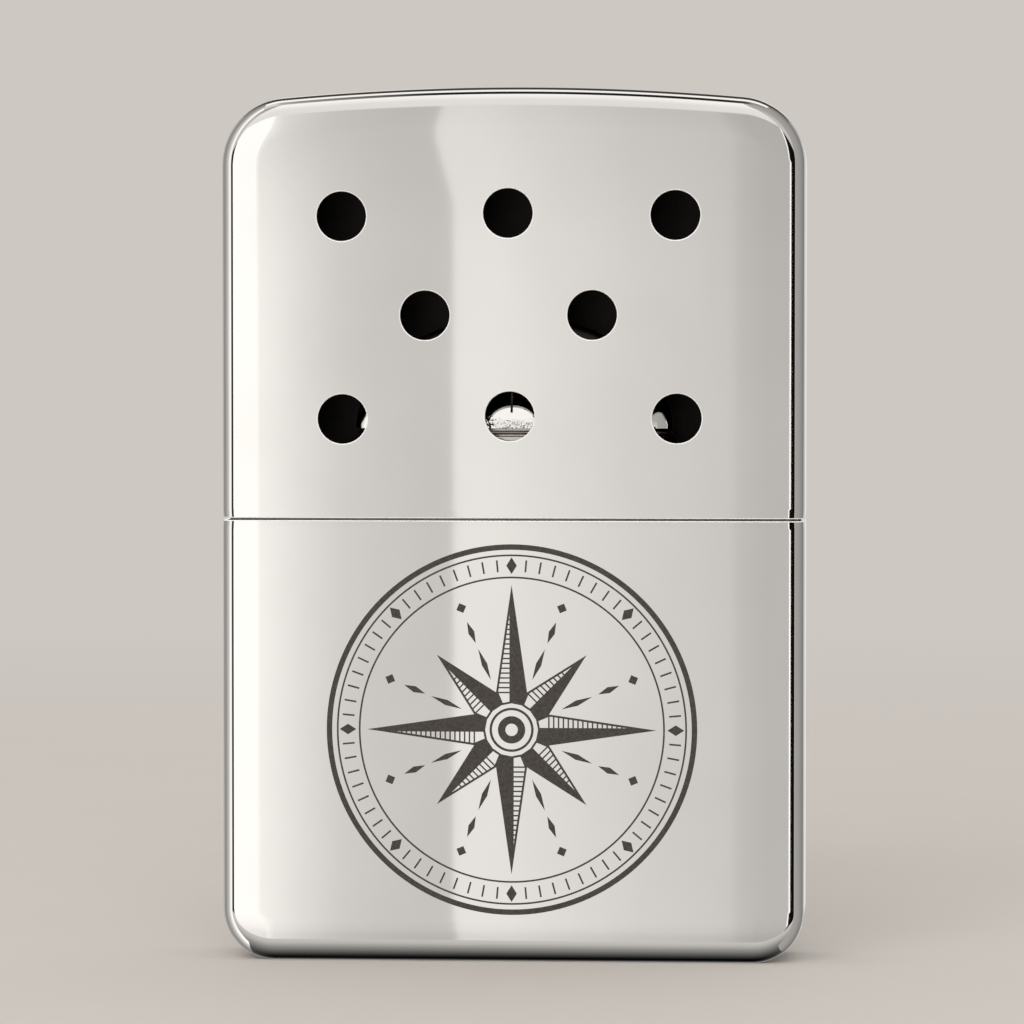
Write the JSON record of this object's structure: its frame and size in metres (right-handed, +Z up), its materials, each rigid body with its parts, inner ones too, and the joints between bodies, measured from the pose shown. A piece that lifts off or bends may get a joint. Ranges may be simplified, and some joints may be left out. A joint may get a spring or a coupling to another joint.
{
  "type": "catalytic hand warmer",
  "caption": "Slim pocket hand warmer: a vented lift-off cap over an arched catalytic burner on a packed fuel tank, flat rounded metal case.",
  "frame": {"origin": "middle of the base, on the surface that the warmer stands on", "axes": "+Z up through the cap, -Y out of the vented front face, +X to the right as seen from the front"},
  "size_m": [0.066, 0.014, 0.099],
  "materials": {
    "polished_shell": "satin-polished plated shell",
    "drawn_steel": "drawn, lightly brushed",
    "burner_plate": "polished, slightly warm from heat",
    "heated_steel": "dull brown-grey heat tint",
    "gauze_steel": "dull fine wire",
    "glass_fibre": "coated glass-fibre mat",
    "wool_felt": "dense felt",
    "packed_cotton": "packed cotton wool"
  },
  "bodies": {
    "tank": {"tank_shell": "polished_shell", "guide_collar": "drawn_steel", "tank_deck": "drawn_steel", "filler_neck": "drawn_steel", "neck_strainer": "drawn_steel", "wick_felt": "wool_felt", "cotton_wad_1": "packed_cotton", "cotton_wad_2": "packed_cotton", "cotton_wad_3": "packed_cotton", "cotton_wad_4": "packed_cotton", "cotton_wad_5": "packed_cotton"},
    "burner": {"burner_base": "burner_plate", "burner_socket": "drawn_steel", "grip_spring_left": "drawn_steel", "grip_spring_right": "drawn_steel", "burner_rim": "heated_steel", "lower_gauze": "gauze_steel", "catalyst_mat": "glass_fibre", "upper_gauze": "gauze_steel", "burner_cover": "burner_plate"},
    "cap": {"cap_shell": "polished_shell"}
  },
  "joints": [
    {"name": "cap_lift", "type": "slide", "parent": "tank", "child": "cap", "axis": [0, 0, 1], "range_m": [0, 0.06]},
    {"name": "burner_lift", "type": "slide", "parent": "tank", "child": "burner", "axis": [0, 0, 1], "range_m": [0, 0.018]}
  ]
}
